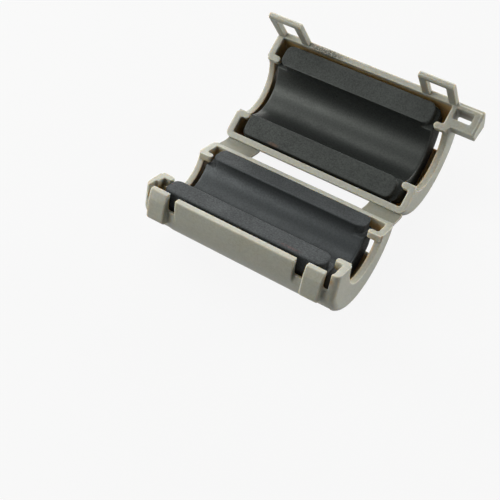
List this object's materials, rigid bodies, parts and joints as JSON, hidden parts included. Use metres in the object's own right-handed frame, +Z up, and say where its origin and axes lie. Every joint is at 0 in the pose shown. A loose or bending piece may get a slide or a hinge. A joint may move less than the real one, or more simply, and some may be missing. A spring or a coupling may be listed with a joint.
{
  "type": "clip-on ferrite bead",
  "caption": "Clip-on ferrite bead, open: two half-round ferrite cores in a hinged plastic case with snap latches and a cable tie tab.",
  "frame": {"origin": "on the axis of the cable seat in the base's ferrite core, at the middle of the case's length; the object lies open on the round backs of its two halves", "axes": "+X along the cable, towards the tie tab; +Y level, from the base to the opened lid; +Z up"},
  "size_m": [0.0418, 0.0469, 0.0228],
  "materials": {
    "case": "moulded, fine matt texture",
    "ferrite": "sintered, dark charcoal, matt"
  },
  "bodies": {
    "base": {"case_base": "case", "core_base": "ferrite", "hinge_strap_left": "case", "hinge_strap_right": "case"},
    "lid": {"case_lid": "case", "core_lid": "ferrite"},
    "latch_left": {"latch_loop_left": "case"},
    "latch_right": {"latch_loop_right": "case"}
  },
  "joints": [
    {"name": "lid_hinge", "type": "hinge", "parent": "base", "child": "lid", "pos_m": [0, 0.01139, -0.00506], "axis": [-1, 0, 0], "range_deg": [-132.2, 47.8], "stiffness_Nm_per_rad": 0.003, "deforming": ["hinge_strap_left", "hinge_strap_right"]},
    {"name": "latch_left_flex", "type": "hinge", "parent": "lid", "child": "latch_left", "pos_m": [-0.0153, 0.03318, 0.00496], "axis": [-1, 0, 0], "range_deg": [0, 12], "stiffness_Nm_per_rad": 0.05},
    {"name": "latch_right_flex", "type": "hinge", "parent": "lid", "child": "latch_right", "pos_m": [0.0146, 0.03318, 0.00496], "axis": [-1, 0, 0], "range_deg": [0, 12], "stiffness_Nm_per_rad": 0.05}
  ]
}
